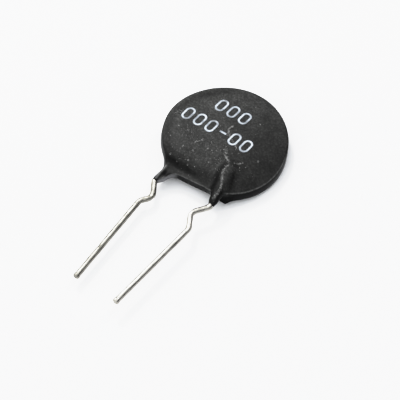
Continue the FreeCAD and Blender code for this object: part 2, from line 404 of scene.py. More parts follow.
def coat_distance(points):
    """Distance from the finished dip, for points in rows of x, y, z."""
    body = body_distance(points[:, 0], points[:, 1], points[:, 2])
    front = sleeve_distance(points, front_route, front_stops, FRONT_SLEEVE)
    back = sleeve_distance(points, back_route, back_stops, BACK_SLEEVE)
    wider = WIDER_ON_DISC * fade(points[:, 1], -8.6, -7.0)
    return soft_min(soft_min(body, front, FRONT_FLANK + wider), back, BACK_FLANK + wider)


print("the disc's middle lies", -round(float(coat_distance(np.zeros((1, 3)))[0]), 2), "mm inside")


# %% [markdown]
# ## From a distance field to a mesh
#
# Blender's remesh and metaballs could skin such a form, but they need a mesh to start from or
# blur the fine collar. Surface nets are short enough to write out: wherever the field changes sign
# inside a small cell there is one vertex, and each crossed grid edge gives one square face. The
# vertices are then slid onto the exact surface along the field's slope.

# %% Grid edges that the surface crosses, and the squares across them
def crossed_edges(values, grid, step, axis):
    """Which grid edges along one axis the surface crosses, where, and which start inside."""
    a = np.moveaxis(values, axis, 0)[:-1]
    b = np.moveaxis(values, axis, 0)[1:]
    crossed = (a < 0) != (b < 0)
    share = np.where(crossed, a / np.where(crossed, a - b, 1), 0)
    place = np.moveaxis(grid, axis, 0)[:-1].copy()
    place[..., axis] += share * step
    return crossed, place, a < 0


def net_faces(edges, number):
    """One square across each crossed grid edge, turned to face outwards."""
    faces = []
    for axis, (crossed, place, inside) in enumerate(edges):
        ids = np.moveaxis(number, axis, 0)
        i, j, k = np.nonzero(crossed[:, 1:-1, 1:-1])
        square = [ids[i, j, k], ids[i, j + 1, k], ids[i, j + 1, k + 1], ids[i, j, k + 1]]
        square = np.stack(square, axis=1)
        turned = inside[i, j + 1, k + 1] if axis != 1 else ~inside[i, j + 1, k + 1]
        faces.append(np.where(turned[:, None], square, square[:, ::-1]))
    return np.concatenate(faces)


# %% Surface nets
def surface_net(field, low, high, step):
    """Points and square faces on the zero surface of a field."""
    axes = [np.arange(a, b + step, step) for a, b in zip(low, high)]
    grid = np.stack(np.meshgrid(*axes, indexing="ij"), axis=-1)
    values = field(grid.reshape(-1, 3)).reshape(grid.shape[:3])
    cells = tuple(n - 1 for n in values.shape)
    total = np.zeros(cells + (3,))
    count = np.zeros(cells)
    edges = [crossed_edges(values, grid, step, axis) for axis in range(3)]
    for axis, (crossed, place, inside) in enumerate(edges):
        wide, tall = crossed.shape[1] - 1, crossed.shape[2] - 1
        for u, v in [(0, 0), (0, 1), (1, 0), (1, 1)]:
            window = (slice(None), slice(u, wide + u), slice(v, tall + v))
            mask = np.moveaxis(crossed[window], 0, axis)
            spot = np.moveaxis(place[window], 0, axis)
            total += np.where(mask[..., None], spot, 0)
            count += mask
    used = count > 0
    number = np.full(cells, -1)
    number[used] = np.arange(used.sum())
    return total[used] / count[used][:, None], net_faces(edges, number)


def ball_distance(points):
    """Distance from a ball of radius 1, to try things on."""
    return np.linalg.norm(points, axis=1) - 1


ball, ball_faces = surface_net(ball_distance, (-1.4,) * 3, (1.4,) * 3, 0.4)
print("a trial ball gets", len(ball), "points and", len(ball_faces), "squares")


# %% Points onto the exact surface
PROBE = 0.02
SETTLE_ROUNDS = 3


def settle(points, field):
    """Slides points onto the zero surface along the field's slope."""
    for _ in range(SETTLE_ROUNDS):
        slope = np.stack([(field(points + step) - field(points - step)) / (2 * PROBE)
                          for step in np.eye(3) * PROBE], axis=1)
        steepness = np.maximum((slope ** 2).sum(1), 0.1)
        points = points - field(points)[:, None] * slope / steepness[:, None]
    return points, slope


for stage, trial in [("before", ball), ("after", settle(ball, ball_distance)[0])]:
    print("ball's points off by", round(float(np.abs(ball_distance(trial)).max()), 6), stage)


# %% Skin the dip
NET_STEP = 0.11
NET_LOW, NET_HIGH = (-8.9, -10.9, -2.5), (8.9, 8.9, 2.5)
coat_points, coat_faces = surface_net(coat_distance, NET_LOW, NET_HIGH, NET_STEP)
coat_points, coat_slope = settle(coat_points, coat_distance)
print("points off the surface, at most:", float(np.abs(coat_distance(coat_points)).max()), "mm")
coat = new_piece("dipped_coat", coat_points, coat_faces)
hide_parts("coating")

# %% [markdown]
# ## The wires
#
# The solids are plain round bars. Real tinned wire is a little uneven, because the tin freezes in
# slight waves and lumps, most of all at the kinks, and at the cut end it has drawn up into a small
# round bead. A tube of rings along the route allows all of that: its radius wanders by a few
# hundredths of a millimetre, and the last rings follow the bead's own profile. The back wire also
# has a small nick.

# %% The rings of a wire
WIRE_RADIUS = 0.4
WIRE_MEAN, WIRE_WANDER = 0.99, 0.008
WIRE_WAVES = (0.9, 1.7, 2.9, 4.3)
LUMP_RINGS = 15
RING_SIDES = 20
RING_STEP = 0.1
BEAD = [(0.75, 1.0), (0.6, 0.97), (0.5, 1.0), (0.4, 1.08), (0.25, 1.15), (0.12, 1.13),
        (0.03, 1.02), (-0.04, 0.8), (-0.08, 0.5), (-0.1, 0.2)]
tin_waves = np.random.default_rng(15)


def wire_rings(side, bends):
    """Middle, direction, radius, place along the wire and lumpiness of each ring."""
    route, stops = lead_route(side, bends, RING_STEP)
    kept = stops[-1] - stops > BEAD[0][0] + 0.5 * RING_STEP
    tangent = np.gradient(route, axis=0)
    tangent /= np.linalg.norm(tangent, axis=1)[:, None]
    wander = sum(tin_waves.normal() * np.sin(stops * rate + tin_waves.uniform(0, 6))
                 for rate in WIRE_WAVES)
    bend = np.linalg.norm(np.gradient(tangent, stops, axis=0), axis=1)
    lumpy = np.convolve(np.clip(bend, 0, 1), np.ones(LUMP_RINGS) / LUMP_RINGS, mode="same")
    radius = WIRE_RADIUS * (WIRE_MEAN + WIRE_WANDER * wander)
    rings = [(route[k], tangent[k], radius[k], stops[k], lumpy[k]) for k in np.nonzero(kept)[0]]
    tip, ahead, length = route[-1], tangent[-1], stops[-1]
    rings += [(tip - ahead * back, ahead, radius[-1] * wide, length - back, 0.0)
              for back, wide in BEAD]
    return rings, length


print("the bead is up to", max(wide for _, wide in BEAD), "times as wide as the wire")


# %% Tinned wires
FINE_WAVE, KINK_LUMP, KINK_RIPPLE = 0.005, 0.028, 0.02
NICK_DEPTH, NICK_WIDTH, NICK_TURN = 0.09, 0.14, 1.2
NICK_FROM_TIP = 5.35


def tinned_wire(name, side, bends, node, nick=None):
    """A slightly uneven wire with lumps of tin at its kinks and a bead round its cut end."""
    rings, length = wire_rings(side, bends)
    phases = tin_waves.uniform(0, 6, 4)
    points = []
    for middle, along, wide, stop, lump in rings:
        across = np.cross(along, [0, 0, 1.0])
        across /= np.linalg.norm(across)
        upright = np.cross(across, along)
        for k in range(RING_SIDES):
            angle = 2 * math.pi * k / RING_SIDES
            rise = FINE_WAVE * math.sin(1.3 * stop + 3 * angle + phases[0])
            rise += KINK_LUMP * lump * math.sin(4.1 * stop + 2 * angle + phases[1])
            rise += KINK_RIPPLE * lump * math.sin(7.3 * stop - 3 * angle + phases[2])
            if nick is not None:
                depth = NICK_DEPTH * math.exp(-((stop - length + nick) / NICK_WIDTH) ** 2)
                rise -= depth * max(0, math.cos(angle - NICK_TURN))
            outwards = across * math.cos(angle) + upright * math.sin(angle)
            points.append(middle + (wide + rise) * outwards)
    last = len(rings) - 1
    turns = [(k, (k + 1) % RING_SIDES) for k in range(RING_SIDES)]
    faces = [(r * RING_SIDES + k, (r + 1) * RING_SIDES + k,
              (r + 1) * RING_SIDES + after, r * RING_SIDES + after)
             for r in range(last) for k, after in turns]
    faces.append(tuple(last * RING_SIDES + k for k in range(RING_SIDES)))
    faces.append(tuple(reversed(range(RING_SIDES))))
    piece = new_piece(name, points, faces)
    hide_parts(node)
    return piece


front_wire = tinned_wire("front_wire", 1, FRONT_BENDS, "front_lead")
back_wire = tinned_wire("back_wire", -1, BACK_BENDS, "back_lead", NICK_FROM_TIP)

# %% [markdown]
# ## Dust
#
# The photographed part is not clean: pale specks sit all over its front, thicker along a crease
# that runs from the print to the ridge. Specks of a tenth of a millimetre are too sharp for a
# vertex colour, and a texture of dots looks even, so each fleck is a tiny flat crumb on the coat.

# %% Where the surface is
HALVINGS = 22


def height_on_coat(x, y):
    """The height of the front face under each x and y, found by halving an interval."""
    high = np.full(len(x), 3.0)
    low = np.zeros(len(x))
    for _ in range(HALVINGS):
        middle = (high + low) / 2
        inside = coat_distance(np.stack([x, y, middle], axis=1)) < 0
        low = np.where(inside, middle, low)
        high = np.where(inside, high, middle)
    return (high + low) / 2


print("height over the disc's middle:", height_on_coat(np.zeros(1), np.zeros(1)).round(2), "mm")


# %% Random places in a cloud and along a line
dust = np.random.default_rng(7)
FACE_REACH = 7.9


def over_disc(count, middle, spread):
    """Random places around a point, kept on the face."""
    places = dust.normal(0, spread, (count, 2)) + middle
    return places[np.hypot(places[:, 0], places[:, 1]) < FACE_REACH]


def along_line(line, count, spread):
    """Random places beside a bent line."""
    line = np.array(line)
    lengths = np.r_[0, np.cumsum(np.linalg.norm(np.diff(line, axis=0), axis=1))]
    stops = dust.uniform(0, lengths[-1], count)
    places = np.stack([np.interp(stops, lengths, line[:, axis]) for axis in range(2)], axis=1)
    return places + dust.normal(0, spread, (count, 2))


# %% [markdown]
# Four clouds, with more dust towards the leads, give the grey cast. The lines are the crease, a
# scratch across the print, the crest of the ridge, whose pale flecks are partly dust and partly a
# painted highlight, and a small arc at the left. Then come a broken row of dashes and ten larger
# crumbs, and the start of the scratch gets a sharper core.

# %% Where the dust lies
DUST_CLOUDS = [(300, (-2.0, -1.5), 4.2), (140, (-3.6, -3.4), 2.0),
               (110, (0.3, -3.2), 1.3), (70, (-7.5, -0.85), 0.28)]
CREASE = [(0.82, -1.04), (1.15, -1.72), (1.66, -2.23), (2.34, -2.76), (2.76, -2.97)]
SCRATCH = [(-0.39, 2.02), (-0.58, 1.25), (-0.13, 0.66), (0.55, 0.26), (1.33, -0.04), (2.11, -0.51)]
CREST = [(2.94, -3.36), (2.9, -4.39), (3.12, -4.93), (3.5, -5.6), (3.92, -6.23), (4.28, -6.96),
         (4.37, -8.5)]
ARC = [(-2.75, -3.52), (-2.78, -3.08), (-2.41, -2.7), (-2.19, -2.38)]
DUST_LINES = [(CREASE, 150, 0.1), (SCRATCH, 250, 0.08), (CREST, 170, 0.1), (ARC, 80, 0.05)]
DASHES = [(2.86, -2.87), (4.11, -1.7)]
CRUMBS = [(-6.12, -2.52), (-4.56, -2.33), (-2.21, -4.4), (-3.66, -4.72), (-4.41, -6.6),
          (-1.85, -5.9), (5.4, -0.08), (2.22, 4.65), (-0.92, -2.97), (4.19, -2.47)]
SCRATCH_CORE = SCRATCH[:4], 200, 0.045
DASH_COUNT, DASH_STRAY, DASH_SIZE = 7, 0.04, 0.06
CRUMB_FLECKS, CRUMB_SIZE = 12, 0.07
dust_groups = [over_disc(*cloud) for cloud in DUST_CLOUDS]
dust_groups += [along_line(*line) for line in DUST_LINES]
dust_groups += [over_disc(CRUMB_FLECKS, dash, DASH_SIZE)
                for dash in along_line(DASHES, DASH_COUNT, DASH_STRAY)]
dust_groups += [over_disc(CRUMB_FLECKS, crumb, CRUMB_SIZE) for crumb in CRUMBS]
dust_groups.append(along_line(*SCRATCH_CORE))
dust_places = np.concatenate(dust_groups)
print("flecks:", len(dust_places))

# %% Flecks
FLECK_SIDES = 6
FLECK_SUNK = 0.004
FLECK_RISE = 0.35
USUAL_LOG_SIZE, LOG_SPREAD = -3.48, 0.42
SMALLEST, LARGEST = 0.016, 0.09
fleck_sizes = dust.lognormal(USUAL_LOG_SIZE, LOG_SPREAD, len(dust_places))
fleck_sizes = np.clip(fleck_sizes, SMALLEST, LARGEST)
fleck_heights = height_on_coat(dust_places[:, 0], dust_places[:, 1])


def fleck(x, y, z, size):
    """The points of one crumb: a ragged rim just inside the coat, and a tip above it."""
    turn = dust.uniform(0, math.pi)
    long = dust.uniform(0.8, 1.7)
    points = []
    for k in range(FLECK_SIDES):
        angle = 2 * math.pi * k / FLECK_SIDES
        u = size * long * math.cos(angle)
        v = size * math.sin(angle) * dust.uniform(0.7, 1.1)
        points.append((x + u * math.cos(turn) - v * math.sin(turn),
                       y + u * math.sin(turn) + v * math.cos(turn), z - FLECK_SUNK))
    return points + [(x, y, z + FLECK_RISE * size)]


fleck_points = []
fleck_faces = []
for (fleck_x, fleck_y), fleck_z, fleck_size in zip(dust_places, fleck_heights, fleck_sizes):
    start = len(fleck_points)
    fleck_points += fleck(fleck_x, fleck_y, fleck_z, fleck_size)
    fleck_faces += [(start + k, start + (k + 1) % FLECK_SIDES, start + FLECK_SIDES)
                    for k in range(FLECK_SIDES)]
flecks = new_piece("dust_flecks", fleck_points, fleck_faces)

# %% [markdown]
# ## Finishes
#
# Every finish is a small node tree on the Principled shader. Short helpers keep each one readable:
# they add a node, set its values, link what it reads and hand back its output, so a cell shows
# only what matters.

# %% Helpers for node trees
def new_finish(name):
    """A material, its node tree and its shader."""
    finish = bpy.data.materials.new(name)
    finish.use_nodes = True
    return finish, finish.node_tree, finish.node_tree.nodes["Principled BSDF"]


def add(tree, kind, inputs=None, **settings):
    """A node with its settings and its plain input values."""
    node = tree.nodes.new(kind)
    for key, value in settings.items():
        setattr(node, key, value)
    for key, value in (inputs or {}).items():
        node.inputs[key].default_value = value
    return node


def object_place(tree):
    """Coordinates that stay with the piece."""
    return add(tree, "ShaderNodeTexCoord").outputs["Object"]


def noise(tree, where, scale, detail, roughness):
    """Noise on coordinates, with its scale in features per metre."""
    inputs = {"Scale": scale, "Detail": detail, "Roughness": roughness}
    node = add(tree, "ShaderNodeTexNoise", inputs)
    tree.links.new(where, node.inputs["Vector"])
    return node.outputs["Fac"]


def ramp(tree, source, stops):
    """A colour ramp through (place, grey or colour) stops."""
    node = add(tree, "ShaderNodeValToRGB")
    elements = node.color_ramp.elements
    while len(elements) < len(stops):
        elements.new(0.5)
    for element, (place, colour) in zip(elements, stops):
        element.position = place
        rgb = tuple(colour) if isinstance(colour, tuple) else (colour,) * 3
        element.color = rgb + (1,)
    tree.links.new(source, node.inputs["Fac"])
    return node.outputs["Color"]


# %% Helpers for mixing, relief and handing out
def number_from(tree, name):
    """The number that each vertex carries under this name."""
    return add(tree, "ShaderNodeAttribute", attribute_name=name).outputs["Fac"]


def towards(tree, amount, under, colour):
    """The colour underneath, mixed towards a plain colour."""
    node = add(tree, "ShaderNodeMix", data_type="RGBA")
    node.inputs["B"].default_value = colour
    tree.links.new(amount, node.inputs["Factor"])
    tree.links.new(under, node.inputs["A"])
    return node.outputs["Result"]


def multiplied(tree, first, second):
    """Two colours multiplied."""
    node = add(tree, "ShaderNodeMix", {"Factor": 1.0}, data_type="RGBA", blend_type="MULTIPLY")
    tree.links.new(first, node.inputs["A"])
    tree.links.new(second, node.inputs["B"])
    return node.outputs["Result"]


def relief(tree, height, strength, distance, under=None):
    """A bump over the plain surface, or over another bump."""
    node = add(tree, "ShaderNodeBump", {"Strength": strength, "Distance": distance})
    tree.links.new(height, node.inputs["Height"])
    if under is not None:
        tree.links.new(under, node.inputs["Normal"])
    return node.outputs["Normal"]


def give(piece, finish):
    """Puts one finish on every slot of a piece."""
    piece.data.materials.clear()
    piece.data.materials.append(finish)
    print(piece.name, "gets", finish.name)


# %% [markdown]
# ## Numbers on the coat's vertices
#
# The coating is silicone lacquer, almost black and matt, with a soft sheen. Three things that
# follow its shape are painted into its colour: a pale line wherever a corner sticks out, which is
# partly wear and partly painted highlight, a grey painted reflection of the white table on the skin
# beside the back lead, and a thin film of dust that is thickest on level places, whose tone also
# carries painted sheen and painted shade. Noise can't place them. So each vertex gets three
# numbers, one for each, and the material reads them by their names.

# %% Each vertex's place
def mark(name, values):
    """Writes one number per vertex of the coat, for its material to read."""
    marks = coat.data.attributes.new(name, "FLOAT", "POINT")
    marks.data.foreach_set("value", np.clip(values, 0, 1).astype(np.float32))
    print(name, "has a mean of", round(float(np.clip(values, 0, 1).mean()), 3))


coat_x, coat_y, coat_z = coat_points.T
coat_turn = np.arctan2(coat_y, coat_x)
upward = coat_slope[:, 2] / np.linalg.norm(coat_slope, axis=1)
above_face = np.maximum((coat_z - front_height(coat_x, coat_y)) * DOME_SCALE,
                        face_limit(coat_x, coat_y, coat_z, 1))
past_side = np.maximum(wall_distance(coat_x, coat_y, coat_z), web_edge_distance(coat_x, coat_y))
on_edge = np.exp(-((above_face - past_side) / 0.1) ** 2)
print("vertices on an edge:", int((on_edge > 0.5).sum()), "of", len(coat_points))

# %% [markdown]
# A corner is where a vertex is as near to the face as to the side, so the difference of those two
# distances finds it. Only the lead side gets the pale line, and the fingers don't; it is partly
# wear and partly a painted highlight where the corner catches the light. The crests of the two
# ridges are lines seen from above, and beside such a line the pale mark fades. The crests and the
# edge of the skin towards the back finger's tip are lightened the same way, partly as wear and
# partly as painted highlight.

# %% Worn corners and crests, with painted highlights
BACK_CREST = [(-3.95, -7.9), (-3.92, -8.5), (-3.93, -9.4), (-3.85, -10.1)]
CREST_WEAR_AND_HIGHLIGHT, BACK_CREST_WEAR_AND_HIGHLIGHT = 0.5, 0.9


def beside_line(points, line, spread):
    """1 on a bent line seen from above, fading to 0 beside it."""
    line = np.array(line)
    flat = points[:, :2]
    nearest = np.full(len(points), FAR_AWAY)
    for first, second in zip(line, line[1:]):
        along = second - first
        share = np.clip((flat - first) @ along / (along @ along), 0, 1)
        gap = np.linalg.norm(flat - first - share[:, None] * along, axis=1)
        nearest = np.minimum(nearest, gap)
    return np.exp(-(nearest / spread) ** 2)


lead_side = fade(nearness(coat_turn), 0.3, 0.8) * fade(coat_x, -3.4, -2.0)
from_front_sleeve = sleeve_distance(coat_points, front_route, front_stops, FRONT_SLEEVE)
# The pale line on the corners, the crests and the skin's edge is partly wear and partly painted
# highlight.
corner = on_edge * lead_side * fade(from_front_sleeve, 0, 0.6) * (coat_z > -0.4)
crest_line = beside_line(coat_points, CREST, 0.13) * (coat_z > 0.9)
back_crest_line = beside_line(coat_points, BACK_CREST, 0.16) * (coat_z > -0.72)
fin_edge = on_edge * fade(coat_y, -9.0, -9.6) * (coat_x > -3.5)
mark("worn_and_highlit", corner + CREST_WEAR_AND_HIGHLIGHT * crest_line + BACK_CREST_WEAR_AND_HIGHLIGHT * back_crest_line + fin_edge)

# %% [markdown]
# The side of the skin in the corner at the back lead is painted a lighter grey than anything near
# it, as a painted reflection of the white table in its wall. It is picked by its place below the
# face and between the disc and the lead, and it stops where the surface turns to look down. The two
# numbers in each fade say where it starts and where it is full, in millimetres of x, y or depth, or
# as how much a vertex looks up, from -1 to 1.

# %% The skin's painted reflection
REFLECTION_AT_DISC = 0.6
skin = fade(above_face, 0, -0.15) * fade(coat_x, -1.6, -2.5) * fade(coat_x, -3.6, -3.3)
skin *= fade(upward, -0.75, -0.35) * (coat_y < -7.6)
to_tip = fade(coat_y, -8.4, -9.6)
# A painted reflection of the table, which grows towards the finger's tip.
mark("painted_reflection", skin * (REFLECTION_AT_DISC + (1 - REFLECTION_AT_DISC) * to_tip))

# %% [markdown]
# This tone is partly a film of dust and partly painted light and shade. It lies on what looks up,
# thins out on slopes and is missing on walls, which also paints the slopes and walls darker as
# shade. It is lighter towards the back lead as a painted sheen, and darker below the crease, in the
# corner, in a band along the left rim and on the top of the back finger as painted shade. Each of
# those is one smooth factor, and the film is their product.

# %% The dust film, with painted sheen and shade
LEAST_SHEEN_SHARE = 0.31
SHARE_ON_SLOPES, MORE_AT_LEFT = 0.3, 0.32
on_slopes = SHARE_ON_SLOPES + MORE_AT_LEFT * fade(coat_x, -0.4, -2.4)
level = fade(upward, 0.72, 0.98)
film_and_shade_by_slope = (on_slopes + (1 - on_slopes) * level) * fade(upward, 0.3, 0.7)
# Lighter towards the back lead, the side the lamps shine from: a painted sheen.
painted_sheen_to_back_lead = fade(coat_x - 0.26 * coat_y, 8.4, -8.4)
from_rim = rim_radius(coat_turn) - np.hypot(coat_x, coat_y)
# A band along the left rim is made darker as painted shade.
left_band = np.exp(-((from_rim - 0.9) / 0.6) ** 2) * fade(coat_x, -1.6, -5.6)
dust_film_and_shade = film_and_shade_by_slope * (LEAST_SHEEN_SHARE + (1 - LEAST_SHEEN_SHARE) * painted_sheen_to_back_lead)
dust_film_and_shade *= 1 - 0.5 * left_band
print("thickest film:", round(float(dust_film_and_shade.max()), 2))

# %% Painted shade where the film is thinner, painted light beside the ridge, and where dust has gathered
# Darker below the crease, in the corner and on the back finger's top: painted shade.
finger_top = fade(coat_y, -8.1, -8.7) * fade(coat_x, -2.2, -2.7)
below_crease = fade(coat_y, -5.3, -6.1) * fade(coat_y, -7.7, -7.0) * fade(coat_x, 2.9, 2.1)
in_corner = fade(coat_y, -6.4, -7.3) * fade(coat_x, -0.4, -2.4) * fade(above_face, -0.15, -0.05)
dust_film_and_shade *= (1 - finger_top) * (1 - 0.45 * below_crease) * (1 - 0.55 * in_corner)
# Lighter on the ridge's right flank, which faces away from the lamps: painted light.
right_flank = [(x + 0.75, y) for x, y in CREST if y > -6.9]
beside_ridge = 0.45 * beside_line(coat_points, right_flank, 0.55) * (coat_z > 0.6)
cloud = np.exp(-((coat_x - 0.3) ** 2 + (coat_y + 3.2) ** 2) / 1.7 ** 2) * (coat_z > 0.5)
# The skin's painted reflection lightens this tone too; the cloud near the ridge is dust.
mark("dust_and_painted_light", dust_film_and_shade + beside_ridge + skin + 0.22 * cloud)

# %% [markdown]
# ## Black dipped silicone
#
# Bare silicone swallows nearly all light, and what the eye sees is the film on it. So the colour
# starts almost black and mixes towards a cloudy grey by the number for dust and painted light, a
# fine grain breaks it up, and the numbers for wear with painted highlight and for the painted
# reflection pull it towards their own greys. The film is rougher than the bare lacquer. Two bumps,
# one fine and one slow, keep the sheen from lying flat.

# %% The colour of the coat
BARE_SILICONE = (0.0012, 0.0012, 0.0012, 1)
DARK_DUST_AND_SHEEN, PALE_DUST_AND_SHEEN = (0.0275, 0.0275, 0.0268), (0.0435, 0.0435, 0.0422)
WORN_AND_HIGHLIGHT_GREY = (0.11, 0.11, 0.108, 1)
REFLECTION_GREY = (0.19, 0.19, 0.198, 1)


def coat_colour(tree, clouds, grain, dust_and_painted_light):
    """Black silicone under a grainy film that also carries painted sheen and shade, with its worn
    and highlit places and its painted reflection.
    """
    film = ramp(tree, clouds, [(0.35, DARK_DUST_AND_SHEEN), (0.62, PALE_DUST_AND_SHEEN)])
    tone = add(tree, "ShaderNodeMix", data_type="RGBA")
    tone.inputs["A"].default_value = BARE_SILICONE
    tree.links.new(dust_and_painted_light, tone.inputs["Factor"])
    tree.links.new(film, tone.inputs["B"])
    speckle = ramp(tree, grain, [(0.40, 0.7), (0.52, 1.0), (0.66, 1.7)])
    colour = multiplied(tree, tone.outputs["Result"], speckle)
    # The mix towards the pale grey of wear and painted highlight is broken up by the grain.
    wear = add(tree, "ShaderNodeMath", operation="MULTIPLY")
    tree.links.new(number_from(tree, "worn_and_highlit"), wear.inputs[0])
    tree.links.new(ramp(tree, grain, [(0.4, 0.35), (0.6, 1.0)]), wear.inputs[1])
    worn_and_highlit_colour = towards(tree, wear.outputs["Value"], colour, WORN_AND_HIGHLIGHT_GREY)
    return towards(tree, number_from(tree, "painted_reflection"), worn_and_highlit_colour, REFLECTION_GREY)


print("the palest film is", round(PALE_DUST_AND_SHEEN[0] / BARE_SILICONE[0]), "times as light as silicone")


# %% The finish of the coat
BARE_ROUGHNESS = 0.3
FILM_COVERS = 3.0


def dipped_silicone():
    """The coat's material: its colour, its sheen and its relief."""
    finish, tree, shader = new_finish("black_dipped_silicone")
    where = object_place(tree)
    clouds = noise(tree, where, 420, 5, 0.6)
    grain = noise(tree, where, 3600, 4, 0.75)
    waves = noise(tree, where, 260, 2, 0.5)
    dust_and_painted_light = number_from(tree, "dust_and_painted_light")
    tree.links.new(coat_colour(tree, clouds, grain, dust_and_painted_light), shader.inputs["Base Color"])
    covered = add(tree, "ShaderNodeMath", {1: FILM_COVERS}, operation="MULTIPLY", use_clamp=True)
    tree.links.new(dust_and_painted_light, covered.inputs[0])
    gloss = add(tree, "ShaderNodeMix", {"A": BARE_ROUGHNESS}, data_type="FLOAT")
    tree.links.new(covered.outputs["Value"], gloss.inputs["Factor"])
    tree.links.new(ramp(tree, clouds, [(0.3, 0.38), (0.7, 0.48)]), gloss.inputs["B"])
    tree.links.new(gloss.outputs["Result"], shader.inputs["Roughness"])
    shader.inputs["Specular IOR Level"].default_value = 0.04
    fine = relief(tree, grain, 0.5, 0.00003)
    tree.links.new(relief(tree, waves, 0.5, 0.0001, fine), shader.inputs["Normal"])
    return finish


give(coat, dipped_silicone())

# %% [markdown]
# ## Tinned copper
#
# Tinned copper is a soft, slightly warm silver. The tin was wiped along the wire, so its grain is
# stretched: noise as on the coat, but with coordinates squeezed along the wire. The wire on the
# back lies lower, nearer the table, and gets darker tones as painted shade, so one function makes
# both finishes.

# %% Tinned wire
ALONG_WIRE = 0.18
SATIN_TIN = (0.25, 0.243, 0.22), (0.43, 0.416, 0.38)
# Darker tones for the back wire: painted shade.
SHADED_TIN = (0.17, 0.164, 0.145), (0.30, 0.29, 0.258)


def tinned_finish(name, dull, bright):
    """Tin between two tones, with streaks along the wire."""
    finish, tree, shader = new_finish(name)
    where = object_place(tree)
    stretch = add(tree, "ShaderNodeMapping", {"Scale": (1.0, ALONG_WIRE, 1.0)})
    tree.links.new(where, stretch.inputs["Vector"])
    streaks = noise(tree, stretch.outputs["Vector"], 5200, 4, 0.6)
    blotches = noise(tree, where, 900, 3, 0.5)
    tree.links.new(ramp(tree, blotches, [(0.3, dull), (0.7, bright)]), shader.inputs["Base Color"])
    tree.links.new(ramp(tree, streaks, [(0.3, 0.24), (0.7, 0.4)]), shader.inputs["Roughness"])
    shader.inputs["Metallic"].default_value = 1.0
    shader.inputs["Specular Tint"].default_value = (0.55, 0.53, 0.5, 1)
    tree.links.new(relief(tree, streaks, 0.5, 0.00004), shader.inputs["Normal"])
    return finish


give(front_wire, tinned_finish("satin_tin", *SATIN_TIN))
give(back_wire, tinned_finish("shaded_tin", *SHADED_TIN))

# %% [markdown]
# ## Ink and dust
#
# The ink is a thin white film, pad printed. It is nearly opaque, with a cool tint, and the grain
# of the coat breaks it up a little, so a fine noise lets some darker dots through. The pad leaves
# more ink in one place than in another, so a slower noise makes parts of each glyph paler. The
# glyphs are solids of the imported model, and only their finish is made here.

# %% Ink
INK_THIN, INK_SPARSE, INK_FULL = (0.13, 0.14, 0.155), (0.335, 0.37, 0.415), (0.415, 0.455, 0.505)


def white_ink():
    """Pad printed ink, uneven in two sizes."""
    finish, tree, shader = new_finish("white_ink")
    where = object_place(tree)
    wear = noise(tree, where, 4200, 4, 0.65)
    deposit = noise(tree, where, 800, 3, 0.5)
    tone = ramp(tree, wear, [(0.30, INK_THIN), (0.42, INK_SPARSE), (0.7, INK_FULL)])
    cover = ramp(tree, deposit, [(0.38, 0.45), (0.60, 1.18)])
    tree.links.new(multiplied(tree, tone, cover), shader.inputs["Base Color"])
    shader.inputs["Roughness"].default_value = 0.55
    tree.links.new(relief(tree, wear, 0.3, 0.00002), shader.inputs["Normal"])
    return finish


give(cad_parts["printed_marking"], white_ink())

# %% [markdown]
# Dust is a pale grey powder with no sheen at all. One noise makes some flecks darker than others,
# as real ones differ in how much of the black shows through them.

# %% Dust
DARK_DUST, PALE_DUST = (0.05, 0.05, 0.049), (0.19, 0.19, 0.186)


def dust_powder():
    """Dull powder between two greys."""
    finish, tree, shader = new_finish("pale_dust")
    mixed = noise(tree, object_place(tree), 3000, 2, 0.5)
    tone = ramp(tree, mixed, [(0.35, DARK_DUST), (0.65, PALE_DUST)])
    tree.links.new(tone, shader.inputs["Base Color"])
    shader.inputs["Roughness"].default_value = 0.9
    return finish


give(flecks, dust_powder())

# %% [markdown]
# ## The pieces sealed inside
#
# They are never seen in this view, but each still gets its own finish: a dark sintered ceramic
# with a fine grain, fired silver, and bright solder. One function with two tones, two
# roughnesses and a scale makes all three, and the ceramic isn't metallic.

# %% Hidden pieces
def mottled(name, tones, roughness, scale, metallic):
    """A finish whose tone and roughness follow one noise."""
    finish, tree, shader = new_finish(name)
    mottle = noise(tree, object_place(tree), scale, 4, 0.6)
    tree.links.new(ramp(tree, mottle, list(zip((0.3, 0.7), tones))), shader.inputs["Base Color"])
    tree.links.new(ramp(tree, mottle, list(zip((0.3, 0.7), roughness))), shader.inputs["Roughness"])
    tree.links.new(relief(tree, mottle, 0.3, 0.00003), shader.inputs["Normal"])
    shader.inputs["Metallic"].default_value = metallic
    return finish


SILVER_TONES = (0.70, 0.69, 0.66), (0.88, 0.87, 0.84)
SOLDER_TONES = (0.52, 0.52, 0.53), (0.72, 0.72, 0.73)
OXIDE_TONES = (0.05, 0.047, 0.045), (0.12, 0.11, 0.10)
silver = mottled("fired_silver", SILVER_TONES, (0.45, 0.65), 2500, 1.0)
solder = mottled("bright_solder", SOLDER_TONES, (0.18, 0.4), 1400, 1.0)
oxide = mottled("sintered_oxide", OXIDE_TONES, (0.6, 0.85), 3500, 0.0)
for node_name, hidden_finish in [("front_electrode", silver), ("back_electrode", silver),
                                 ("front_solder", solder), ("back_solder", solder),
                                 ("ceramic_disc", oxide)]:
    give(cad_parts[node_name], hidden_finish)

# %% [markdown]
# ## Table top
#
# The part lies on plain white paper.

# %% White table top
TABLE_SIZE = 3.0
PAPER_TONES = (0.86, 0.865, 0.875), (0.88, 0.885, 0.895)
bpy.ops.mesh.primitive_plane_add(size=TABLE_SIZE, location=(0, 0, 0))
table_top = bpy.context.object
table_top.name = "table_top"


def white_paper():
    """Paper between two near whites."""
    finish, tree, shader = new_finish("white_paper")
    fibres = noise(tree, object_place(tree), 900, 3, 0.5)
    tone = ramp(tree, fibres, [(0.3, PAPER_TONES[0]), (0.7, PAPER_TONES[1])])
    tree.links.new(tone, shader.inputs["Base Color"])
    shader.inputs["Roughness"].default_value = 0.85
    shader.inputs["Specular IOR Level"].default_value = 0.2
    return finish


